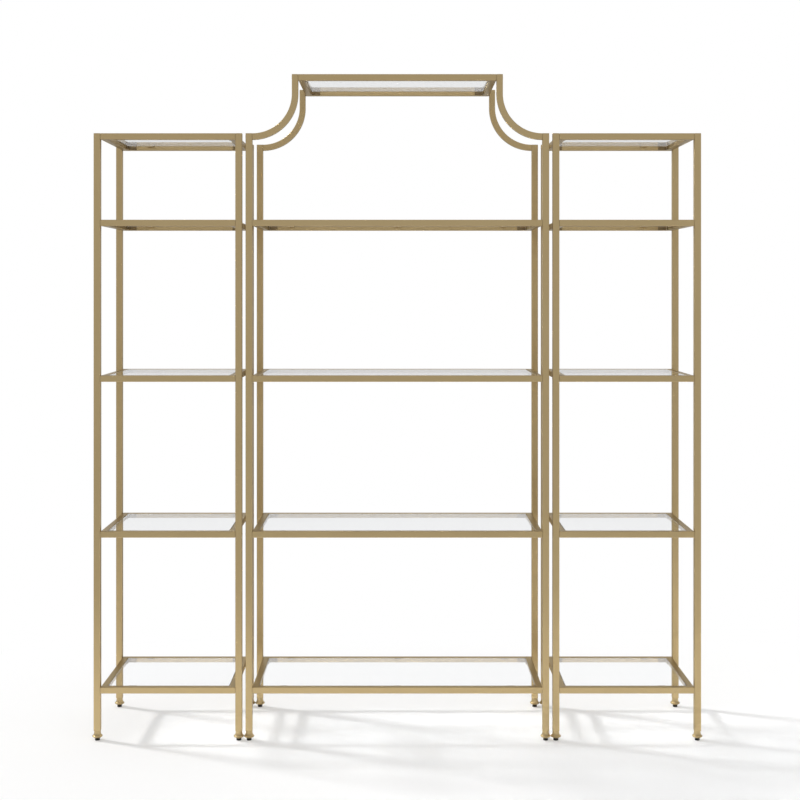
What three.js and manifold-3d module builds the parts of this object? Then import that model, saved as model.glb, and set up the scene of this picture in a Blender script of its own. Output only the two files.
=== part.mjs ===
// Etagere in three free-standing units: a wide centre unit with a raised crown between two narrow side units.
// Each unit has four square tube posts on flared feet, with a levelling glide in each foot. Between its posts
// it has shelf frames of mitred square tube, with a glass shelf set into each.
// Millimetres, +Z up, front towards -Y. The origin is on the floor under the middle of the set.

import * as THREE from "three";
import { mergeVertices } from "three/addons/utils/BufferGeometryUtils.js";
import Module from "manifold-3d";

const wasm = await Module();
wasm.setup();

// Overall sizes, measured over the posts
const SIDE_WIDTH = 446.6;
const CENTRE_WIDTH = 914.2;
const DEPTH = 368;
const POST_TOP = 1829;

// Square tube
const POST_SIZE = 20;
const RAIL_SIZE = 19;
const TUBE_WALL = 1.2;
const TUBE_CHAMFER = 1.1;

// Shelf frames: the lowest top face, how far the highest lies below the posts' top, and how many there are
const LOWEST_SHELF_TOP = 161;
const TOP_BAY = 260.4;
const PITCHED_SHELVES = 4;

// Crown arms: a quarter round from the post, then a short straight end
const SCOOP_RADIUS = 119;
const ARM_STRAIGHT = 59;
const ARM_STEPS = 18;

// Glass shelves, set a little below the frame's top face
const GLASS_THICK = 5;
const GLASS_DROP = 0.5;
const GLASS_EDGE_GAP = 1;
const GLASS_CORNER_RADIUS = 3;
const GLASS_CORNER_STEPS = 3;

// Corner angles and tabs welded inside each frame, which carry the glass
const ANGLE_LEG = 28;
const ANGLE_THICK = 3;
const ANGLE_LIFT = 0.8;
const TAB_WIDTH = 22;
const TAB_REACH = 12;
const TAB_THICK = 2.5;
const TAB_INSET = 93;

// Bolt holes in the frame's outer faces, for the bolts that come through the posts
const BOLT_HOLE = 6.6;
const HOLE_SIDES = 8;

// Flared feet, welded to the posts: from the sole a taper out to the rim, then the flare up to the post
const FOOT_DIAMETER = 30.4;
const SOLE_DIAMETER = 17;
const TAPER_HEIGHT = 5;
const RIM_HEIGHT = 3;
const FLARE_HEIGHT = 15;
const FLARE_STEPS = 5;
const NECK_INSET = 0.3;
const PLUG_DEPTH = 6;
const FEET_CLEARANCE = 0.4;

// Levelling glides: a pad, a neck and a threaded stem
const PAD_DIAMETER = 15;
const PAD_HEIGHT = 4.3;
const PAD_BEVEL = 0.8;
const NECK_DIAMETER = 12;
const NECK_HEIGHT = 1.9;
const STEM_DIAMETER = 8;
const STEM_PAST_PLUG = 3;

// Gap between pieces that touch, how far a welded plate runs into a wall, and how far a cut runs past a face
const FIT_GAP = 0.3;
const WELD_DEPTH = TUBE_WALL / 2;
const OVERRUN = 1;

const ROUND_SIDES = 16;
const QUARTER_TURN = Math.PI / 2;

// Places that follow from the sizes
const FOOT_UNDERSIDE = PAD_HEIGHT + NECK_HEIGHT + FIT_GAP;
const FOOT_TOP = FOOT_UNDERSIDE + TAPER_HEIGHT + RIM_HEIGHT + FLARE_HEIGHT;
const PLUG_TOP = FOOT_TOP + PLUG_DEPTH;
const SHELF_PITCH = (POST_TOP - TOP_BAY - LOWEST_SHELF_TOP) / (PITCHED_SHELVES - 1);
const POST_SPACING_DEEP = DEPTH - POST_SIZE;
const SIDE_SPACING = SIDE_WIDTH - POST_SIZE;
const CENTRE_SPACING = CENTRE_WIDTH - POST_SIZE;
const UNIT_OFFSET = (CENTRE_SPACING + SIDE_SPACING) / 2 + FOOT_DIAMETER + FEET_CLEARANCE;
const ARM_START = (CENTRE_SPACING - POST_SIZE) / 2 - FIT_GAP;
const ARM_RADIUS = SCOOP_RADIUS + RAIL_SIZE / 2;
const SIDE_FRAME_WIDTH = SIDE_SPACING - POST_SIZE - 2 * FIT_GAP;
const CENTRE_FRAME_WIDTH = CENTRE_SPACING - POST_SIZE - 2 * FIT_GAP;
const CROWN_FRAME_WIDTH = 2 * (ARM_START - ARM_RADIUS - FIT_GAP) - RAIL_SIZE;
const CROWN_TOP = POST_TOP + SCOOP_RADIUS + ARM_STRAIGHT;
const GLASS_UNDERSIDE = -GLASS_DROP - GLASS_THICK;
const CARRIER_TOP = GLASS_UNDERSIDE - FIT_GAP;
const CARRIER_BOTTOM = ANGLE_LIFT - RAIL_SIZE;

const SIDES = { left: -1, right: 1 };
const ENDS = { front: -1, back: 1 };

// A closed solid from a geometry whose faces point out; the flat triangles at a lathe's axis are left out
function solid(geometry) {
  const bare = geometry.clone();
  bare.deleteAttribute("normal");
  bare.deleteAttribute("uv");
  const merged = mergeVertices(bare);
  const corners = merged.index.array;
  const triangles = [];
  for (let i = 0; i < corners.length; i += 3) {
    const [a, b, c] = corners.subarray(i, i + 3);
    if (a !== b && b !== c && c !== a) triangles.push(a, b, c);
  }
  return new wasm.Manifold(
    new wasm.Mesh({
      numProp: 3,
      vertProperties: merged.attributes.position.array,
      triVerts: new Uint32Array(triangles),
    }),
  );
}

// The flat-shaded geometry of a solid
function geometryOf(manifold) {
  const mesh = manifold.getMesh();
  const geometry = new THREE.BufferGeometry();
  geometry.setAttribute("position", new THREE.BufferAttribute(mesh.vertProperties, 3));
  geometry.setIndex(new THREE.BufferAttribute(mesh.triVerts, 1));
  const flat = geometry.toNonIndexed();
  flat.computeVertexNormals();
  return flat;
}

function union(pieces) {
  return pieces.reduce((whole, piece) => whole.add(piece));
}

// Sections and bars

function polygon(points) {
  return new THREE.Shape(points.map(([x, y]) => new THREE.Vector2(x, y)));
}

function squareSection(size, chamfer) {
  const flat = size / 2 - chamfer;
  const edge = size / 2;
  return polygon([
    [flat, -edge], [edge, -flat], [edge, flat], [flat, edge],
    [-flat, edge], [-edge, flat], [-edge, -flat], [-flat, -edge],
  ]);
}

function tubeSection(size) {
  const section = squareSection(size, TUBE_CHAMFER);
  const bore = size / 2 - TUBE_WALL;
  section.holes.push(polygon([[-bore, -bore], [-bore, bore], [bore, bore], [bore, -bore]]));
  return section;
}

function extrude(section, length) {
  return new THREE.ExtrudeGeometry(section, { depth: length, bevelEnabled: false });
}

// A flat rectangular ring, centred on the axis
function ringShape(wide, deep, thickness) {
  const corners = (x, y) => [[-x, -y], [x, -y], [x, y], [-x, y]];
  const shape = polygon(corners(wide / 2, deep / 2));
  shape.holes.push(polygon(corners(wide / 2 - thickness, deep / 2 - thickness).reverse()));
  return shape;
}

function lathe(profile) {
  const points = profile.map(([radius, height]) => new THREE.Vector2(radius, height));
  return new THREE.LatheGeometry(points, ROUND_SIDES).rotateX(QUARTER_TURN);
}

// Flared foot: a tapered underside, a rim, then a trumpet curve up to the neck under the post
function footProfile() {
  const rimRadius = FOOT_DIAMETER / 2;
  const neckRadius = POST_SIZE / 2 - NECK_INSET;
  const rimBottom = FOOT_UNDERSIDE + TAPER_HEIGHT;
  const rimTop = rimBottom + RIM_HEIGHT;
  const profile = [[0, FOOT_UNDERSIDE], [SOLE_DIAMETER / 2, FOOT_UNDERSIDE], [rimRadius, rimBottom]];
  for (let step = 0; step <= FLARE_STEPS; step++) {
    const turn = QUARTER_TURN * (step / FLARE_STEPS);
    const radius = rimRadius - (rimRadius - neckRadius) * Math.sin(turn);
    profile.push([radius, rimTop + FLARE_HEIGHT * (1 - Math.cos(turn))]);
  }
  const weldTop = FOOT_TOP + WELD_DEPTH;
  return [...profile, [neckRadius, weldTop], [0, weldTop]];
}

// Post with its foot: a capped square tube, plugged at the foot, where a bore takes the glide's stem
function post() {
  const bar = extrude(squareSection(POST_SIZE, TUBE_CHAMFER), POST_TOP - FOOT_TOP).translate(0, 0, FOOT_TOP);
  const boreSize = POST_SIZE - 2 * TUBE_WALL;
  const hollow = new THREE.BoxGeometry(boreSize, boreSize, POST_TOP - TUBE_WALL - PLUG_TOP);
  hollow.translate(0, 0, (POST_TOP - TUBE_WALL + PLUG_TOP) / 2);
  const boreRadius = STEM_DIAMETER / 2 + FIT_GAP;
  const boreLength = PLUG_TOP - FOOT_UNDERSIDE + 2 * OVERRUN;
  const bore = new THREE.CylinderGeometry(boreRadius, boreRadius, boreLength, ROUND_SIDES);
  bore.rotateX(QUARTER_TURN).translate(0, 0, (FOOT_UNDERSIDE + PLUG_TOP) / 2);
  return union([solid(bar), solid(lathe(footProfile()))]).subtract(solid(hollow)).subtract(solid(bore));
}

// Glide: pad on the floor, neck up to the foot, stem through the foot's plug
function glide() {
  const padRadius = PAD_DIAMETER / 2;
  const neckRadius = NECK_DIAMETER / 2;
  const stemRadius = STEM_DIAMETER / 2;
  const neckTop = PAD_HEIGHT + NECK_HEIGHT;
  const stemTop = PLUG_TOP + STEM_PAST_PLUG;
  return solid(
    lathe([
      [0, 0],
      [padRadius - PAD_BEVEL, 0],
      [padRadius, PAD_BEVEL],
      [padRadius, PAD_HEIGHT],
      [neckRadius, PAD_HEIGHT],
      [neckRadius, neckTop],
      [stemRadius, neckTop],
      [stemRadius, stemTop],
      [0, stemTop],
    ]),
  );
}

// Centre line of a crown arm, from the post's inner face: a quarter round, then straight up
class ArmPath extends THREE.Curve {
  getPoint(t) {
    const arcLength = ARM_RADIUS * QUARTER_TURN;
    const travelled = t * (arcLength + ARM_STRAIGHT);
    const turn = Math.min(travelled, arcLength) / ARM_RADIUS;
    const rise = Math.max(travelled - arcLength, 0);
    return new THREE.Vector3(
      -ARM_RADIUS * Math.sin(turn),
      0,
      SCOOP_RADIUS - ARM_RADIUS * Math.cos(turn) + rise,
    );
  }
}

// Crown arm: the rails' tube along the path, with a cap on its upper end
function crownArm() {
  const along = { steps: ARM_STEPS, extrudePath: new ArmPath() };
  const tube = new THREE.ExtrudeGeometry(tubeSection(RAIL_SIZE), along);
  const cap = extrude(squareSection(RAIL_SIZE, TUBE_CHAMFER), TUBE_WALL);
  cap.translate(-ARM_RADIUS, 0, SCOOP_RADIUS + ARM_STRAIGHT - TUBE_WALL);
  return union([solid(tube), solid(cap)]);
}

// Mitred frame of square tube, hollow all round, with bolt holes in its left and right faces
function mitredTube(wide, deep) {
  const flat = RAIL_SIZE - 2 * TUBE_CHAMFER;
  const outer = ringShape(wide - 2 * TUBE_CHAMFER, deep - 2 * TUBE_CHAMFER, flat);
  const body = new THREE.ExtrudeGeometry(outer, {
    depth: flat, bevelThickness: TUBE_CHAMFER, bevelSize: TUBE_CHAMFER, bevelSegments: 1,
  });
  const boreSize = RAIL_SIZE - 2 * TUBE_WALL;
  const hollow = extrude(ringShape(wide - 2 * TUBE_WALL, deep - 2 * TUBE_WALL, boreSize), boreSize);
  const cuts = [solid(hollow.translate(0, 0, TUBE_WALL - RAIL_SIZE))];
  for (const side of Object.values(SIDES)) {
    for (const end of Object.values(ENDS)) {
      const hole = new THREE.CylinderGeometry(
        BOLT_HOLE / 2, BOLT_HOLE / 2, TUBE_WALL + 2 * OVERRUN, HOLE_SIDES,
      );
      hole.rotateZ(QUARTER_TURN);
      hole.translate((side * (wide - TUBE_WALL)) / 2, (end * POST_SPACING_DEEP) / 2, -RAIL_SIZE / 2);
      cuts.push(solid(hole));
    }
  }
  return solid(body.translate(0, 0, TUBE_CHAMFER - RAIL_SIZE)).subtract(union(cuts));
}

// Corner angle: two upright legs in a frame's inner corner, whose upper edges carry the glass
function cornerAngle(innerWide, innerDeep, side, end) {
  const outline = [
    [-WELD_DEPTH, -WELD_DEPTH], [ANGLE_LEG, -WELD_DEPTH], [ANGLE_LEG, ANGLE_THICK],
    [ANGLE_THICK, ANGLE_THICK], [ANGLE_THICK, ANGLE_LEG], [-WELD_DEPTH, ANGLE_LEG],
  ];
  const placed = outline.map(([x, y]) => [side * (innerWide / 2 - x), end * (innerDeep / 2 - y)]);
  const angle = extrude(polygon(placed), CARRIER_TOP - CARRIER_BOTTOM);
  return solid(angle.translate(0, 0, CARRIER_BOTTOM));
}

// Tab on a front or back rail: an upright leg on the rail and a ledge under the glass
function glassTab(x, innerDeep, end) {
  const outline = [
    [-WELD_DEPTH, CARRIER_BOTTOM], [TAB_THICK, CARRIER_BOTTOM], [TAB_THICK, CARRIER_TOP - TAB_THICK],
    [TAB_REACH, CARRIER_TOP - TAB_THICK], [TAB_REACH, CARRIER_TOP], [-WELD_DEPTH, CARRIER_TOP],
  ];
  const section = polygon(outline.map(([reach, z]) => [z, end * (innerDeep / 2 - reach)]));
  return solid(extrude(section, TAB_WIDTH).rotateY(-QUARTER_TURN).translate(x + TAB_WIDTH / 2, 0, 0));
}

// Shelf frame with its angles and tabs, as wide as stated, with its top face at z = 0
function shelfFrame(wide, tabPlaces) {
  const deep = POST_SPACING_DEEP + RAIL_SIZE;
  const innerWide = wide - 2 * RAIL_SIZE;
  const innerDeep = deep - 2 * RAIL_SIZE;
  const pieces = [mitredTube(wide, deep)];
  for (const end of Object.values(ENDS)) {
    for (const x of tabPlaces) pieces.push(glassTab(x, innerDeep, end));
    for (const side of Object.values(SIDES)) pieces.push(cornerAngle(innerWide, innerDeep, side, end));
  }
  return union(pieces);
}

// Glass shelf inside a frame of the stated width, with rounded corners
function glassShelf(wide) {
  const taken = RAIL_SIZE + GLASS_EDGE_GAP;
  const halfWide = wide / 2 - taken - GLASS_CORNER_RADIUS;
  const halfDeep = (POST_SPACING_DEEP + RAIL_SIZE) / 2 - taken - GLASS_CORNER_RADIUS;
  const outline = new THREE.Shape();
  outline.absarc(halfWide, halfDeep, GLASS_CORNER_RADIUS, 0, QUARTER_TURN);
  outline.absarc(-halfWide, halfDeep, GLASS_CORNER_RADIUS, QUARTER_TURN, 2 * QUARTER_TURN);
  outline.absarc(-halfWide, -halfDeep, GLASS_CORNER_RADIUS, 2 * QUARTER_TURN, 3 * QUARTER_TURN);
  outline.absarc(halfWide, -halfDeep, GLASS_CORNER_RADIUS, 3 * QUARTER_TURN, 4 * QUARTER_TURN);
  outline.closePath();
  const settings = { depth: GLASS_THICK, bevelEnabled: false, curveSegments: GLASS_CORNER_STEPS };
  return solid(new THREE.ExtrudeGeometry(outline, settings).translate(0, 0, GLASS_UNDERSIDE));
}

// Finishes

function satinGold() {
  return new THREE.MeshStandardMaterial({ color: "#b7a379", roughness: 0.36, metalness: 0.9 });
}

function clearGlass() {
  return new THREE.MeshStandardMaterial({
    color: "#e6f0ec", roughness: 0.04, metalness: 0, transparent: true, opacity: 0.3,
  });
}

function blackNylon() {
  return new THREE.MeshStandardMaterial({ color: "#1a1918", roughness: 0.6, metalness: 0 });
}

function place(parent, name, geometry, material, x, y, z) {
  const mesh = new THREE.Mesh(geometry, material);
  mesh.name = name;
  mesh.position.set(x, y, z);
  parent.add(mesh);
  return mesh;
}

const postGeometry = geometryOf(post());
const glideGeometry = geometryOf(glide());
const armGeometry = geometryOf(crownArm());

// Four posts with their glides
function addLegs(unit, name, spacingWide) {
  for (const [endName, end] of Object.entries(ENDS)) {
    for (const [sideName, side] of Object.entries(SIDES)) {
      const x = (side * spacingWide) / 2;
      const y = (end * POST_SPACING_DEEP) / 2;
      place(unit, `${name}_post_${endName}_${sideName}`, postGeometry, satinGold(), x, y, 0);
      place(unit, `${name}_glide_${endName}_${sideName}`, glideGeometry, blackNylon(), x, y, 0);
    }
  }
}

// Shelf frames at the given heights, each with its glass; number 1 is the lowest
function addShelves(unit, name, tops, wide, tabPlaces) {
  const frame = geometryOf(shelfFrame(wide, tabPlaces));
  const glass = geometryOf(glassShelf(wide));
  tops.forEach((top, index) => {
    place(unit, `${name}_shelf_frame_${index + 1}`, frame, satinGold(), 0, 0, top);
    place(unit, `${name}_glass_shelf_${index + 1}`, glass, clearGlass(), 0, 0, top);
  });
}

// Crown on the centre unit: four arms that carry the highest frame, whose corner angles alone hold its glass
function addCrown(unit, name) {
  for (const [endName, end] of Object.entries(ENDS)) {
    for (const [sideName, side] of Object.entries(SIDES)) {
      const armName = `${name}_crown_arm_${endName}_${sideName}`;
      const y = (end * POST_SPACING_DEEP) / 2;
      const arm = place(unit, armName, armGeometry, satinGold(), side * ARM_START, y, POST_TOP);
      arm.rotation.z = side > 0 ? 0 : Math.PI;
    }
  }
  const frame = geometryOf(shelfFrame(CROWN_FRAME_WIDTH, []));
  const glass = geometryOf(glassShelf(CROWN_FRAME_WIDTH));
  place(unit, `${name}_crown_frame`, frame, satinGold(), 0, 0, CROWN_TOP);
  place(unit, `${name}_crown_glass`, glass, clearGlass(), 0, 0, CROWN_TOP);
}

const pitchedTops = Array.from({ length: PITCHED_SHELVES }, (_, i) => LOWEST_SHELF_TOP + i * SHELF_PITCH);
const etagere = new THREE.Group();

for (const [sideName, side] of Object.entries(SIDES)) {
  const sideUnit = new THREE.Group();
  sideUnit.position.x = side * UNIT_OFFSET;
  addLegs(sideUnit, sideName, SIDE_SPACING);
  const outerTab = side * (SIDE_FRAME_WIDTH / 2 - TAB_INSET);
  addShelves(sideUnit, sideName, [...pitchedTops, POST_TOP], SIDE_FRAME_WIDTH, [outerTab]);
  etagere.add(sideUnit);
}

const centreUnit = new THREE.Group();
addLegs(centreUnit, "centre", CENTRE_SPACING);
const centreTab = CENTRE_FRAME_WIDTH / 2 - TAB_INSET;
addShelves(centreUnit, "centre", pitchedTops, CENTRE_FRAME_WIDTH, [-centreTab, 0, centreTab]);
addCrown(centreUnit, "centre");
etagere.add(centreUnit);

export default etagere;
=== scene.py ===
"""Etagere of satin gold square tube with clear glass shelves: a wide unit with a raised crown between two
narrow units. Each piece is made where the frame has it, in metres, with the front towards -Y."""

import math

import bmesh
import bpy
from mathutils import Matrix, Vector


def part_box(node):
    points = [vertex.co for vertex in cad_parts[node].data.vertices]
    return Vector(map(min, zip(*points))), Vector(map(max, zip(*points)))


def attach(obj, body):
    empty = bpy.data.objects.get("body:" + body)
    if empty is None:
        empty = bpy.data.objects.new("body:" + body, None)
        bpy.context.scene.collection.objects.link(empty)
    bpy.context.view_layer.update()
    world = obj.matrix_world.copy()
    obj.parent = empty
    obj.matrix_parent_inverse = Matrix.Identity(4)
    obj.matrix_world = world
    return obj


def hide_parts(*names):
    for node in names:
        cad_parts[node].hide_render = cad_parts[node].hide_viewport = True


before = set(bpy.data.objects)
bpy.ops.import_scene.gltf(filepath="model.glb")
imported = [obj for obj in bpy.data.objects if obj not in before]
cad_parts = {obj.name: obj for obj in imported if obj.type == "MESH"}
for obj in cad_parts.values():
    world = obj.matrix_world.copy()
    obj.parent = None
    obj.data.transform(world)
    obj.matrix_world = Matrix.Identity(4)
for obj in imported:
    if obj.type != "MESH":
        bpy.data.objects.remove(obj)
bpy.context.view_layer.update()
MM = 0.001
STATIC_BODY = "units"

# Camera
# It stands level and square to the front of the set, three quarters of the way up the posts.
camera_distance = 4350 * MM
camera_height = 1363 * MM
focal_length = 65.04
sensor_width = 36
framing_shift = (0.0033, -0.14)

camera_data = bpy.data.cameras.new("camera")
camera_data.lens = focal_length
camera_data.sensor_width = sensor_width
camera_data.shift_x, camera_data.shift_y = framing_shift
camera = bpy.data.objects.new("camera", camera_data)
bpy.context.scene.collection.objects.link(camera)
front_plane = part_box("left_shelf_frame_1")[0].y
camera.location = (0, front_plane - camera_distance, camera_height)
camera.rotation_euler = (math.pi / 2, 0, 0)
bpy.context.scene.camera = camera
bpy.context.scene.view_settings.view_transform = "Standard"


# Satin gold finish
# All the tube is steel with a champagne gold coat: a metallic base under a thin satin clear coat, with the
# slight orange peel and the fine flake of a sprayed coat. Flake lies flat, so a glancing view is darker.
gold_light = (0.645, 0.495, 0.262, 1)
gold_deep = (0.595, 0.445, 0.226, 1)
gold_edge_tint = (0.50, 0.485, 0.46, 1)
gold_roughness = 0.33
gold_roughness_spread = 0.08
cloud_size = 160 * MM
peel_size = 2.6 * MM
peel_height = 0.01 * MM
flake_size = 0.35 * MM
flake_tint = 0.10


class Shade:
    """An output socket in a material. Arithmetic on it adds Math nodes, and node() adds any other node."""

    def __init__(self, socket):
        self.socket = socket

    def node(self, kind, settings, values, output=0):
        tree = self.socket.id_data
        made = tree.nodes.new(kind)
        for name, setting in settings.items():
            if name == "stops":
                for stop, (place, grey) in zip(made.color_ramp.elements, setting):
                    stop.position = place
                    stop.color = (grey, grey, grey, 1)
            else:
                setattr(made, name, setting)
        for name, value in values.items():
            if isinstance(value, Shade):
                tree.links.new(value.socket, made.inputs[name])
            else:
                made.inputs[name].default_value = value
        return Shade(made.outputs[output])

    def math(self, operation, *others):
        return self.node("ShaderNodeMath", {"operation": operation}, dict(enumerate((self, *others))))

    def __add__(self, other):
        return self.math("ADD", other)

    def __mul__(self, other):
        return self.math("MULTIPLY", other)

    def __sub__(self, other):
        return self.math("SUBTRACT", other)

    def __rsub__(self, other):
        return self.math("MULTIPLY_ADD", -1, other)

    __radd__ = __add__
    __rmul__ = __mul__

    def between(self, colour_at_0, colour_at_1):
        """The colour that lies this far between two colours."""
        settings = {"data_type": "RGBA"}
        return self.node("ShaderNodeMix", settings, {0: self, 6: colour_at_0, 7: colour_at_1}, output=2)

    def rise(self, start, end):
        """This value's smooth rise, from 0 at the start to 1 at the end."""
        settings = {"interpolation_type": "SMOOTHSTEP"}
        return self.node("ShaderNodeMapRange", settings, {"Value": self, "From Min": start, "From Max": end})

    def along(self, way):
        """How far this vector reaches along a unit vector."""
        return self.node("ShaderNodeVectorMath", {"operation": "DOT_PRODUCT"}, {0: self, 1: way}, output=1)

    def noise(self, size, detail=2):
        """Noise on this vector, with patches of about the size stated."""
        settings = {"noise_dimensions": "3D"}
        values = {"Vector": self, "Scale": 1 / size, "Detail": detail, "Roughness": 0.5}
        return self.node("ShaderNodeTexNoise", settings, values)

    def relief(self, height):
        """The normals of a surface that this pattern raises by up to the height stated."""
        return self.node("ShaderNodeBump", {}, {"Strength": 1.0, "Distance": height, "Height": self})


def new_material(name):
    """A material with its surface node, and the object coordinates that its pattern follows."""
    material = bpy.data.materials.new(name)
    material.use_nodes = True
    tree = material.node_tree
    surface = tree.nodes["Principled BSDF"]
    place = Shade(tree.nodes.new("ShaderNodeTexCoord").outputs["Object"])
    return material, surface, place


def feed(surface, **sockets):
    """Sets sockets of a surface node, given with _ for spaces, from shades or constants."""
    for name, value in sockets.items():
        socket = surface.inputs[name.replace("_", " ")]
        if isinstance(value, Shade):
            surface.id_data.links.new(value.socket, socket)
        else:
            socket.default_value = value


def cover(surface, amount, shader):
    """Puts another shader over a surface, as far as the amount says."""
    tree = surface.id_data
    values = {0: amount, 1: Shade(surface.outputs["BSDF"]), 2: shader}
    whole = amount.node("ShaderNodeMixShader", {}, values)
    tree.links.new(whole.socket, tree.nodes["Material Output"].inputs["Surface"])


satin_gold, surface, place = new_material("satin_gold")
clouds = place.noise(cloud_size)
flake = place.noise(flake_size, detail=1)
colour = (clouds + (flake - 0.5) * flake_tint).between(gold_deep, gold_light)
feed(surface, Base_Color=colour, Metallic=0.92, IOR=1.5, Coat_Weight=0.15, Coat_Roughness=0.25)
feed(surface, Roughness=gold_roughness + (clouds - 0.5) * gold_roughness_spread, Specular_Tint=gold_edge_tint)
feed(surface, Normal=place.noise(peel_size).relief(peel_height))


# Posts
# Each post is a length of square tube, closed by a welded plate at the top and by a round plug at the foot.
# The flared foot is turned from solid bar, bored for the glide and welded under the tube.
UNITS = ("left", "centre", "right")
ENDS = ("front", "back")
SIDES = ("left", "right")
post_size = 20 * MM
tube_wall = 1.2 * MM
tube_corner = 1.8 * MM
tube_corner_steps = 4
end_softening = 0.5 * MM
foot_sole_radius = 8.5 * MM
foot_taper_height = 5 * MM
foot_rim_height = 3 * MM
foot_rim_softening = 0.9 * MM
foot_rim_steps = 4
foot_flare_height = 15 * MM
foot_flare_steps = 18
foot_neck_radius = 9.7 * MM
foot_weld_radius = 0.9 * MM
foot_weld_arc = (-60, 85)
foot_weld_steps = 6
plug_radius = 8.5 * MM
plug_height = 6 * MM
glide_bore_radius = 4.3 * MM
turned_steps = 48
merge_distance = MM / 1000
sharp_angle = math.radians(38)


def of_kind(items, kind):
    """The vertices, edges or faces among the items of a bmesh result."""
    return [item for item in items if isinstance(item, kind)]


def round_corners(bm, corners, radius, steps):
    """Rounds the corners of a flat face, and returns the new corners."""
    return bmesh.ops.bevel(
        bm, geom=corners, offset=radius, offset_type="OFFSET", affect="VERTICES", segments=steps,
        profile=0.5, material=-1,
    )["verts"]


def square_face(bm, size, corner_radius, corner_steps):
    """A level square face with rounded corners, centred on the origin."""
    half_diagonal = size / math.sqrt(2)
    made = bmesh.ops.create_circle(bm, cap_ends=True, segments=4, radius=half_diagonal)
    bmesh.ops.rotate(bm, verts=made["verts"], matrix=Matrix.Rotation(math.pi / 4, 3, "Z"))
    return round_corners(bm, made["verts"], corner_radius, corner_steps)[0].link_faces[0]


def raise_face(bm, face, height):
    """Extrudes a face upwards, keeps the face at the start, and returns the new end face."""
    made = bmesh.ops.extrude_face_region(bm, geom=[face], use_keep_orig=True)["geom"]
    end = of_kind(made, bmesh.types.BMFace)[0]
    bmesh.ops.translate(bm, verts=end.verts, vec=(0, 0, height))
    return end


def soften(bm, edges, width, steps=2):
    """Rounds edges over."""
    bmesh.ops.bevel(
        bm, geom=edges, offset=width, offset_type="OFFSET", affect="EDGES", segments=steps, profile=0.5,
        material=-1,
    )


def turn(bm, profile, closed=False):
    """Turns a profile of (radius, height) pairs round the Z axis."""
    corners = [bm.verts.new((radius, 0, height)) for radius, height in profile]
    pairs = list(zip(corners, corners[1:]))
    if closed:
        pairs.append((corners[-1], corners[0]))
    edges = [bm.edges.new(pair) for pair in pairs]
    bmesh.ops.spin(
        bm, geom=corners + edges, cent=(0, 0, 0), axis=(0, 0, 1), angle=2 * math.pi, steps=turned_steps,
        use_merge=True,
    )
    bmesh.ops.remove_doubles(bm, verts=bm.verts, dist=merge_distance)


def arc(centre, radius, start, end, steps):
    """Points on an arc, as (radius, height) pairs, between two angles in degrees."""
    angles = [math.radians(start + (end - start) * step / steps) for step in range(steps + 1)]
    return [(centre[0] + radius * math.cos(a), centre[1] + radius * math.sin(a)) for a in angles]


def middle(low, high, level):
    """The middle of a box's outline, at the level stated."""
    return Vector(((low.x + high.x) / 2, (low.y + high.y) / 2, level))


def moved(bm, vector):
    """A copy of a shape, moved to its place."""
    copy = bm.copy()
    bmesh.ops.translate(copy, verts=copy.verts, vec=vector)
    return copy


def post_corners():
    """The unit, end and side of every post, which are those of its foot and glide too."""
    for unit in UNITS:
        for end in ENDS:
            for side in SIDES:
                yield unit, end, side


def add_piece(name, bm, material, slot, body, *replaced):
    """Makes a finished piece: its object, finish and body, and the nodes that it stands for."""
    bmesh.ops.recalc_face_normals(bm, faces=bm.faces)
    mesh = bpy.data.meshes.new(name)
    bm.to_mesh(mesh)
    bm.free()
    mesh.shade_smooth()
    mesh.set_sharp_from_angle(angle=sharp_angle)
    mesh.materials.append(material)
    piece = bpy.data.objects.new(name, mesh)
    bpy.context.scene.collection.objects.link(piece)
    piece.modifiers.new("even_shading", "WEIGHTED_NORMAL").keep_sharp = True
    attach(piece, body)
    if replaced:
        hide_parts(*replaced)


def post_shape(foot_underside, post_top, foot_radius):
    """Tube with its plug and flared foot, standing over the origin."""
    foot_rim_bottom = foot_underside + foot_taper_height
    foot_rim_top = foot_rim_bottom + foot_rim_height
    foot_top = foot_rim_top + foot_flare_height
    bm = bmesh.new()
    outside = square_face(bm, post_size, tube_corner, tube_corner_steps)
    outside_top = raise_face(bm, outside, post_top - foot_top)
    soften(bm, outside_top.edges[:], end_softening)
    inner_size = post_size - 2 * tube_wall
    inside = square_face(bm, inner_size, tube_corner - tube_wall, tube_corner_steps)
    raise_face(bm, inside, post_top - foot_top - tube_wall)
    mouth = outside.edges[:] + inside.edges[:]
    bmesh.ops.delete(bm, geom=[outside, inside], context="FACES_ONLY")
    bmesh.ops.bridge_loops(bm, edges=mouth)
    bmesh.ops.translate(bm, verts=bm.verts, vec=(0, 0, foot_top))
    rim = foot_rim_softening
    flare = []
    for step in range(foot_flare_steps + 1):
        angle = math.pi / 2 * step / foot_flare_steps
        radius = foot_radius - rim - (foot_radius - rim - foot_neck_radius) * math.sin(angle)
        flare.append((radius, foot_rim_top + (foot_flare_height - foot_weld_radius) * (1 - math.cos(angle))))
    weld_centre = (foot_neck_radius, foot_top - foot_weld_radius)
    weld = arc(weld_centre, foot_weld_radius, *foot_weld_arc, foot_weld_steps)
    turn(bm, [
        (glide_bore_radius, foot_underside),
        *arc((foot_sole_radius - rim, foot_underside + rim), rim, -90, -60, foot_rim_steps // 2),
        *arc((foot_radius - rim, foot_rim_bottom + rim / 2), rim, -50, 0, foot_rim_steps),
        *arc((foot_radius - rim, foot_rim_top - rim), rim, 0, 90, foot_rim_steps),
        *flare[1:],
        *weld,
        (plug_radius, foot_top),
        (plug_radius, foot_top + plug_height),
        (glide_bore_radius, foot_top + plug_height),
    ], closed=True)
    return bm


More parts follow.
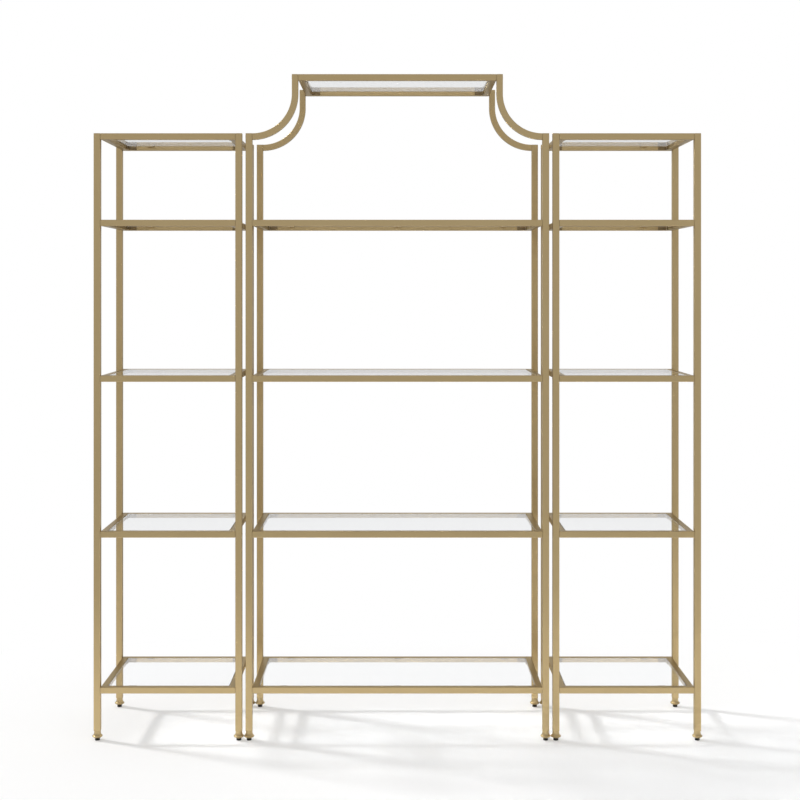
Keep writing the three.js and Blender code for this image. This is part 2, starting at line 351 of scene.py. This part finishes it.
first_low, first_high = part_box("left_post_front_left")
post = post_shape(first_low.z, first_high.z, (first_high.x - first_low.x) / 2)
for unit, end, side in post_corners():
    node = f"{unit}_post_{end}_{side}"
    shape = moved(post, middle(*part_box(node), 0))
    add_piece(f"{unit}_{end}_{side}_post_and_foot", shape, satin_gold, "gold_metal", STATIC_BODY, node)


# Levelling glides
# Each is a black nylon pad moulded on a threaded stem, which screws up into the foot's bore to level the
# unit. The thread shows only between the pad and the foot when a glide is screwed down.
nylon_black = (0.020, 0.019, 0.018, 1)
nylon_worn = (0.045, 0.043, 0.040, 1)
nylon_roughness = 0.5
nylon_roughness_spread = 0.2
mould_grain = 0.5 * MM
mould_grain_height = mould_grain / 20
scuff_size = 9 * mould_grain
scuff_stops = ((0.52, 0), (0.75, 1))
pad_radius = 7.5 * MM
pad_height = 4.3 * MM
pad_softening = 0.8 * MM
pad_softening_steps = 5
neck_radius = 6 * MM
foot_gap = 0.3 * MM
stem_root_radius = 3.4 * MM
thread_pitch = 1.25 * MM
thread_depth = 0.5 * MM

black_nylon, surface, place = new_material("black_nylon")
grain = place.noise(mould_grain)
scuffs = place.noise(scuff_size)
worn = scuffs.node("ShaderNodeValToRGB", {"stops": scuff_stops}, {"Fac": scuffs})
feed(surface, Base_Color=worn.between(nylon_black, nylon_worn), Normal=grain.relief(mould_grain_height))
feed(surface, Roughness=nylon_roughness + grain * nylon_roughness_spread)


def glide_shape(neck_top, stem_top):
    """Pad, neck and threaded stem, standing on the origin."""
    flat_radius = pad_radius - pad_softening
    flat_height = pad_height - pad_softening
    profile = [(0, 0)]
    profile += arc((flat_radius, pad_softening), pad_softening, -90, 0, pad_softening_steps)
    profile += arc((flat_radius, flat_height), pad_softening, 0, 90, pad_softening_steps)
    profile += [(neck_radius, pad_height), (neck_radius, neck_top), (stem_root_radius, neck_top)]
    turns = int((stem_top - neck_top) / thread_pitch) - 1
    for index in range(turns):
        start = neck_top + (index + 0.5) * thread_pitch
        profile += [(stem_root_radius, start), (stem_root_radius + thread_depth, start + thread_pitch / 2)]
    profile += [(stem_root_radius, stem_top - thread_pitch / 2), (0, stem_top)]
    bm = bmesh.new()
    turn(bm, profile)
    return bm


glide = glide_shape(first_low.z - foot_gap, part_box("left_glide_front_left")[1].z)
for unit, end, side in post_corners():
    node = f"{unit}_glide_{end}_{side}"
    shape = moved(glide, middle(*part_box(node), 0))
    add_piece(f"{unit}_{end}_{side}_levelling_glide", shape, black_nylon, "black_nylon", node, node)


# Shelf frames
# Each is four lengths of square tube, mitred at the corners and welded into a rectangle, with the welds
# ground flush and the whole frame coated in one go.
rail_size = 19 * MM
rail_corner = 1.7 * MM
rail_corner_steps = 3


def shelf_nodes():
    """The frame and glass nodes of every level, with the unit that they are in."""
    for unit, levels in (("left", 5), ("centre", 4), ("right", 5)):
        for level in range(1, levels + 1):
            yield f"{unit}_shelf_frame_{level}", f"{unit}_glass_shelf_{level}", unit
    yield "centre_crown_frame", "centre_crown_glass", "crown"


def level_face(bm, wide, deep):
    """Makes a level rectangular face, centred on the origin, and returns its corners."""
    corners = bmesh.ops.create_grid(bm, x_segments=1, y_segments=1, size=0.5)["verts"]
    bmesh.ops.scale(bm, verts=corners, vec=(wide, deep, 1))
    return corners


def rails_shape(wide, deep):
    """Mitred frame, centred under the origin with its top face at z = 0."""
    bm = bmesh.new()
    bmesh.ops.translate(bm, verts=level_face(bm, wide, deep), vec=(0, 0, -rail_size))
    inner = bm.faces[:]
    bmesh.ops.inset_region(bm, faces=inner, thickness=rail_size, use_boundary=True, use_even_offset=True)
    bmesh.ops.delete(bm, geom=inner, context="FACES_ONLY")
    raised = bmesh.ops.extrude_face_region(bm, geom=bm.faces[:], use_keep_orig=True)["geom"]
    bmesh.ops.translate(bm, verts=of_kind(raised, bmesh.types.BMVert), vec=(0, 0, rail_size))
    bmesh.ops.recalc_face_normals(bm, faces=bm.faces)
    bm.normal_update()
    long_edges = [
        edge for edge in bm.edges
        if abs(edge.verts[0].co.z - edge.verts[1].co.z) < MM and edge.calc_face_angle(0) > sharp_angle
    ]
    soften(bm, long_edges, rail_corner, rail_corner_steps)
    return bm


for frame_node, _, _ in shelf_nodes():
    low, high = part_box(frame_node)
    shape = rails_shape(high.x - low.x, high.y - low.y)
    bmesh.ops.translate(shape, verts=shape.verts, vec=middle(low, high, high.z))
    rails_name = frame_node.replace("_frame", "_rails")
    add_piece(rails_name, shape, satin_gold, "gold_metal", STATIC_BODY, frame_node)


# Corner angles
# A length of steel angle is welded in each corner of a frame, on edge, so that its two upper edges carry the
# glass. It sits in the rails' shade, and its brown, darker than the rails' gold, is painted shade.
# The two browns are painted shade for the frame corners, with random patches of tone between them.
corner_shade_brown = (0.33, 0.245, 0.13, 1)
corner_shade_brown_deep = (0.24, 0.17, 0.092, 1)
coat_patch = 12 * MM
coat_roughness = 0.4
angle_leg = 28 * MM
angle_thick = 3 * MM
angle_lift = 0.8 * MM
carrier_drop = 5.8 * MM
carrier_softening = 0.6 * MM
carrier_bottom = angle_lift - rail_size
carrier_height = rail_size - carrier_drop - angle_lift
weld_sink = 0.5 * MM


def upright_bar(bm, outline, height, bottom):
    """An upright prism with softened edges, on an outline of (x, y) corners."""
    before = set(bm.edges)
    face = bm.faces.new([bm.verts.new((x, y, bottom)) for x, y in outline])
    raise_face(bm, face, height)
    soften(bm, [edge for edge in bm.edges if edge not in before], carrier_softening)


# Painted shade: the angles' brown is darker than the gold to stand in for the shade in the frame corners.
corner_shade_steel, surface, place = new_material("corner_shade_steel")
patches = place.noise(coat_patch)
feed(surface, Base_Color=patches.between(corner_shade_brown_deep, corner_shade_brown), Metallic=0.85, IOR=1.5)
feed(surface, Roughness=coat_roughness + (patches - 0.5) * gold_roughness_spread)

for frame_node, _, _ in shelf_nodes():
    low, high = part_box(frame_node)
    inner_x = (high.x - low.x) / 2 - rail_size
    inner_y = (high.y - low.y) / 2 - rail_size
    outline = [
        (-weld_sink, -weld_sink), (angle_leg, -weld_sink), (angle_leg, angle_thick),
        (angle_thick, angle_thick), (angle_thick, angle_leg), (-weld_sink, angle_leg),
    ]
    bm = bmesh.new()
    for x_side in (-1, 1):
        for y_side in (-1, 1):
            placed = [(x_side * (inner_x - x), y_side * (inner_y - y)) for x, y in outline]
            upright_bar(bm, placed, carrier_height, carrier_bottom)
    bmesh.ops.translate(bm, verts=bm.verts, vec=middle(low, high, high.z))
    add_piece(frame_node.replace("_frame", "_corner_angles"), bm, corner_shade_steel, "gold_metal", STATIC_BODY)


# Glass tabs
# Small bent plates on the long rails, each a leg on the rail and a ledge under the glass, with a pan-headed
# rivet. The crown has none, because its glass is short enough for the angles alone.
tab_width = 22 * MM
tab_reach = 12 * MM
tab_thick = 2.5 * MM
tab_inset = 93 * MM
rivet_radius = 4.2 * MM
rivet_height = 1.6 * MM
rivet_level = -13.2 * MM
dome_sides = 16
dome_rings = 8


def tab_places(unit, wide):
    """Where a frame's tabs are along X, from its middle."""
    edge = wide / 2 - tab_inset
    return {"left": [-edge], "right": [edge], "centre": [-edge, 0, edge], "crown": []}[unit]


def dome(bm, radius, height, place, turned=0):
    """A low dome on a disc that faces up, turned round the X axis and moved to its place."""
    made = bmesh.ops.create_uvsphere(bm, u_segments=dome_sides, v_segments=dome_rings, radius=radius)["verts"]
    for corner in made:
        corner.co.z = max(corner.co.z, 0) * height / radius
    bmesh.ops.rotate(bm, verts=made, matrix=Matrix.Rotation(turned, 3, "X"))
    bmesh.ops.translate(bm, verts=made, vec=place)


for frame_node, _, unit in shelf_nodes():
    low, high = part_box(frame_node)
    inner_y = (high.y - low.y) / 2 - rail_size
    places = tab_places(unit, high.x - low.x)
    if not places:
        continue
    tabs, heads = bmesh.new(), bmesh.new()
    for y_side in (-1, 1):
        for x in places:
            start, end = x - tab_width / 2, x + tab_width / 2
            for reach, height, bottom in (
                (tab_thick, carrier_height - tab_thick / 2, carrier_bottom),
                (tab_reach, tab_thick, -carrier_drop - tab_thick),
            ):
                outline = [(start, -weld_sink), (end, -weld_sink), (end, reach), (start, reach)]
                placed = [(along, y_side * (inner_y - inwards)) for along, inwards in outline]
                upright_bar(tabs, placed, height, bottom)
            on_leg = (x, y_side * (inner_y - tab_thick), rivet_level)
            dome(heads, rivet_radius, rivet_height, on_leg, y_side * math.pi / 2)
    for bm, kind in ((tabs, "_glass_tabs"), (heads, "_tab_rivets")):
        bmesh.ops.translate(bm, verts=bm.verts, vec=middle(low, high, high.z))
        add_piece(frame_node.replace("_frame", kind), bm, satin_gold, "gold_metal", STATIC_BODY)


# Glass shelves
# Each is a plate of clear tempered glass with rounded corners and polished edges, laid on the frame's angles
# and tabs. The lamp's light passes it with a little loss, so that its shadow stays faint.
glass_corner = 3 * MM
glass_corner_steps = 5
glass_arris = 0.7 * MM
glass_tint = (0.965, 0.975, 0.985, 1)
glass_shadow = (0.90, 0.905, 0.91, 1)
smear_size = 90 * MM
smear_roughness = 0.02

clear_glass, surface, place = new_material("clear_glass")
smear = place.noise(smear_size, detail=3)
feed(surface, Base_Color=glass_tint, Transmission_Weight=1.0, IOR=1.5, Roughness=smear * smear_roughness)
tree = clear_glass.node_tree
passed = tree.nodes.new("ShaderNodeBsdfTransparent")
passed.inputs["Color"].default_value = glass_shadow
lamp_ray = Shade(tree.nodes.new("ShaderNodeLightPath").outputs["Is Shadow Ray"])
cover(surface, lamp_ray, Shade(passed.outputs["BSDF"]))

for _, glass_node, _ in shelf_nodes():
    low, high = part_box(glass_node)
    bm = bmesh.new()
    round_corners(bm, level_face(bm, high.x - low.x, high.y - low.y), glass_corner, glass_corner_steps)
    lower_face = bm.faces[:][0]
    upper_face = raise_face(bm, lower_face, high.z - low.z)
    soften(bm, lower_face.edges[:] + upper_face.edges[:], glass_arris)
    bmesh.ops.translate(bm, verts=bm.verts, vec=middle(low, high, low.z))
    add_piece(glass_node.replace("glass", "clear"), bm, clear_glass, "clear_glass", STATIC_BODY, glass_node)


# Glass bumpers
# A clear silicone dot on each tab's ledge, which keeps the glass off the steel and stops it sliding.
bumper_radius = 4 * MM
bumper_height = 0.25 * MM
silicone_clear = (0.80, 0.82, 0.82, 1)
silicone_cloudy = (0.66, 0.68, 0.68, 1)
silicone_patch = 3 * MM

clear_silicone, surface, place = new_material("clear_silicone")
silicone_colour = place.noise(silicone_patch).between(silicone_cloudy, silicone_clear)
feed(surface, Base_Color=silicone_colour, Roughness=0.35, IOR=1.41, Transmission_Weight=0.6)

for unit in UNITS:
    dots = bmesh.new()
    for frame_node, _, owner in shelf_nodes():
        if owner == unit:
            low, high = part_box(frame_node)
            on_ledge = (high.y - low.y) / 2 - rail_size - (tab_thick + tab_reach) / 2
            for x in tab_places(unit, high.x - low.x):
                for y_side in (-1, 1):
                    from_top = Vector((x, y_side * on_ledge, -carrier_drop))
                    dome(dots, bumper_radius, bumper_height, middle(low, high, high.z) + from_top)
    add_piece(f"{unit}_glass_bumpers", dots, clear_silicone, "clear_glass", STATIC_BODY)


# Crown arms
# Four lengths of the rails' tube, bent to a quarter round and closed at the top, bolted to the tops of the
# centre posts and holding the highest frame between them.
arm_straight = 59 * MM
arm_bend_steps = 30

for end in ENDS:
    for side in SIDES:
        node = f"centre_crown_arm_{end}_{side}"
        low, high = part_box(node)
        inwards = 1 if side == "left" else -1
        start_x = low.x if side == "left" else high.x
        bend_radius = high.x - low.x - rail_size / 2
        start = Vector((start_x, (low.y + high.y) / 2, low.z + rail_size / 2))
        bm = bmesh.new()
        section = square_face(bm, rail_size, rail_corner, tube_corner_steps)
        bmesh.ops.rotate(bm, verts=bm.verts, matrix=Matrix.Rotation(inwards * math.pi / 2, 3, "Y"))
        bmesh.ops.translate(bm, verts=bm.verts, vec=start)
        bent = bmesh.ops.spin(
            bm, geom=[section], cent=start + Vector((0, 0, bend_radius)), axis=(0, -inwards, 0),
            angle=math.pi / 2, steps=arm_bend_steps,
        )["geom_last"]
        end_face = of_kind(bent, bmesh.types.BMFace)[0]
        top_face = raise_face(bm, end_face, arm_straight)
        bmesh.ops.delete(bm, geom=[end_face], context="FACES_ONLY")
        soften(bm, top_face.edges[:], end_softening)
        add_piece(f"crown_{end}_{side}_arm", bm, satin_gold, "gold_metal", STATIC_BODY, node)


# Frame bolts
# Low socket-headed bolts in the tube's gold. Each goes through the outer face of a post, or of an arm, into
# the end of a frame or arm behind it, and its head is let into the wall so that it stands almost flush.
head_radius = 6.5 * MM
head_height = 1.6 * MM
head_stand = 0.4 * MM
head_softening = 0.5 * MM
head_sides = 28
socket_radius = 2.9 * MM
socket_depth = 1.2 * MM
socket_sides = 6


def bolt_head():
    """A head that stands on the origin and faces up, with its hexagon socket."""
    bm = bmesh.new()
    made = bmesh.ops.create_circle(bm, cap_ends=True, segments=head_sides, radius=head_radius)
    soften(bm, raise_face(bm, made["verts"][0].link_faces[0], head_height).edges[:], head_softening)
    top = max(bm.faces, key=lambda face: face.calc_center_median().z)
    upwards = Matrix.Translation((0, 0, head_height))
    made = bmesh.ops.create_circle(
        bm, cap_ends=True, segments=socket_sides, radius=socket_radius, matrix=upwards,
    )
    mouth = made["verts"][0].link_faces[0]
    raise_face(bm, mouth, -socket_depth)
    edges = top.edges[:] + mouth.edges[:]
    bmesh.ops.delete(bm, geom=[top, mouth], context="FACES_ONLY")
    bmesh.ops.bridge_loops(bm, edges=edges)
    return bm


def bolt_places(unit):
    """Where a unit's heads are: the way each faces, and its place."""
    levels = [frame_node for frame_node, _, owner in shelf_nodes() if owner == unit]
    for side in SIDES:
        outwards = -1 if side == "left" else 1
        sunk = outwards * (head_height - head_stand)
        for end in ENDS:
            low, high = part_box(f"{unit}_post_{end}_{side}")
            x = (low.x + high.x + outwards * post_size) / 2 - sunk
            y = (low.y + high.y) / 2
            for level in levels:
                yield outwards, (x, y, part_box(level)[1].z - rail_size / 2)
            if unit == "centre":
                low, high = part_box(f"centre_crown_arm_{end}_{side}")
                yield outwards, (x, y, low.z + rail_size / 2)
                arm_x = high.x - rail_size if side == "left" else low.x + rail_size
                yield outwards, (arm_x - sunk, y, high.z - rail_size / 2)


for unit in UNITS:
    bm = bolt_head()
    first_head = bm.verts[:] + bm.edges[:] + bm.faces[:]
    for facing, place in bolt_places(unit):
        copied = bmesh.ops.duplicate(bm, geom=first_head)["geom"]
        corners = of_kind(copied, bmesh.types.BMVert)
        bmesh.ops.rotate(bm, verts=corners, matrix=Matrix.Rotation(facing * math.pi / 2, 3, "Y"))
        bmesh.ops.translate(bm, verts=corners, vec=place)
    bmesh.ops.delete(bm, geom=of_kind(first_head, bmesh.types.BMVert), context="VERTS")
    add_piece(f"{unit}_frame_bolts", bm, satin_gold, "gold_metal", STATIC_BODY)


# Studio
# A floor and a room that the camera sees as white, but for soft shadows, and a large lamp high behind the
# set on the left. What the metal mirrors is dimmer: the far floor, and the walls at some heights, which are
# sines of the angle above the horizon. The floor fades over multiples of its reach, or over metres behind.
floor_size = 600
floor_white = (0.95, 0.95, 0.95, 1)
floor_grey = (0.48, 0.48, 0.48, 1)
floor_grey_behind = (0.60, 0.60, 0.60, 1)
floor_lift = 0.3
floor_middle = Vector((0.9, -0.4, 0))
floor_reach = Vector((2.0, 0.8, 1))
floor_fade = (1, 2)
floor_behind = (2, 8)
lamp_direction = Vector((0.84, -0.37, -1))
lamp_strength = 1.6
lamp_angle = math.radians(6)
room_white = (1, 1, 1, 1)
room_fill = 0.70
room_dim = 0.62
room_behind = 0.12
room_behind_heights = (0.17, 0.27)
room_rise = 0.24
room_high = 0.30
room_high_heights = (0.28, 0.42)
room_top_heights = (0.7, 0.95)

floor_paint, surface, place = new_material("floor_paint")
spread = Vector((1 / floor_reach.x, 1 / floor_reach.y, 1))
spot = place.node("ShaderNodeMapping", {}, {
    "Vector": place, "Scale": spread, "Location": -floor_middle * spread})
distance = spot.node("ShaderNodeVectorMath", {"operation": "LENGTH"}, {0: spot}, output=1)
far = distance.rise(*floor_fade)
distant = place.along((0, 1, 0)).rise(*floor_behind).between(floor_grey, floor_grey_behind)
tree = floor_paint.node_tree
rays = tree.nodes.new("ShaderNodeLightPath")
seen = Shade(rays.outputs["Is Camera Ray"]) + Shade(rays.outputs["Is Transmission Ray"])
seen = seen.math("MINIMUM", 1.0)
darker = far * (1.0 - seen)
feed(surface, Base_Color=darker.between(floor_white, distant), Roughness=1.0, Specular_IOR_Level=0.0)
backdrop = tree.nodes.new("ShaderNodeEmission")
backdrop.inputs["Color"].default_value = room_white
cover(surface, far.math("MAXIMUM", floor_lift) * seen, Shade(backdrop.outputs["Emission"]))
bm = bmesh.new()
level_face(bm, floor_size, floor_size)
floor_mesh = bpy.data.meshes.new("floor")
bm.to_mesh(floor_mesh)
bm.free()
floor_mesh.materials.append(floor_paint)
floor = bpy.data.objects.new("floor", floor_mesh)
bpy.context.scene.collection.objects.link(floor)

lamp_data = bpy.data.lights.new("soft_lamp", "SUN")
lamp_data.energy = lamp_strength
lamp_data.angle = lamp_angle
lamp = bpy.data.objects.new("soft_lamp", lamp_data)
lamp.rotation_euler = lamp_direction.to_track_quat("-Z", "Y").to_euler()
bpy.context.scene.collection.objects.link(lamp)

room = bpy.data.worlds.new("room")
room.use_nodes = True
bpy.context.scene.world = room
tree = room.node_tree
background = tree.nodes["Background"]
rays = tree.nodes.new("ShaderNodeLightPath")
direction = Shade(tree.nodes.new("ShaderNodeTexCoord").outputs["Generated"])
scattered = Shade(rays.outputs["Diffuse Depth"]).math("MINIMUM", 1.0)
through = Shade(rays.outputs["Is Transmission Ray"])
seen = Shade(rays.outputs["Is Camera Ray"]) + through * (1.0 - scattered)
mirrored = Shade(rays.outputs["Is Glossy Ray"]) * (1.0 - through)
upwards = direction.along((0, 0, 1))
behind = direction.along((0, 1, 0)).math("MAXIMUM", 0.0)
low_level = room_dim + behind * (room_behind + upwards.rise(*room_behind_heights) * room_rise)
high_walls = upwards.rise(*room_high_heights)
walls = low_level + high_walls * (room_high - low_level)
mirror_level = walls.math("MAXIMUM", upwards.rise(*room_top_heights))
level = seen.math("MINIMUM", 1.0) + mirrored * mirror_level + (1.0 - seen - mirrored) * room_fill
background.inputs["Color"].default_value = room_white
tree.links.new(level.socket, background.inputs["Strength"])
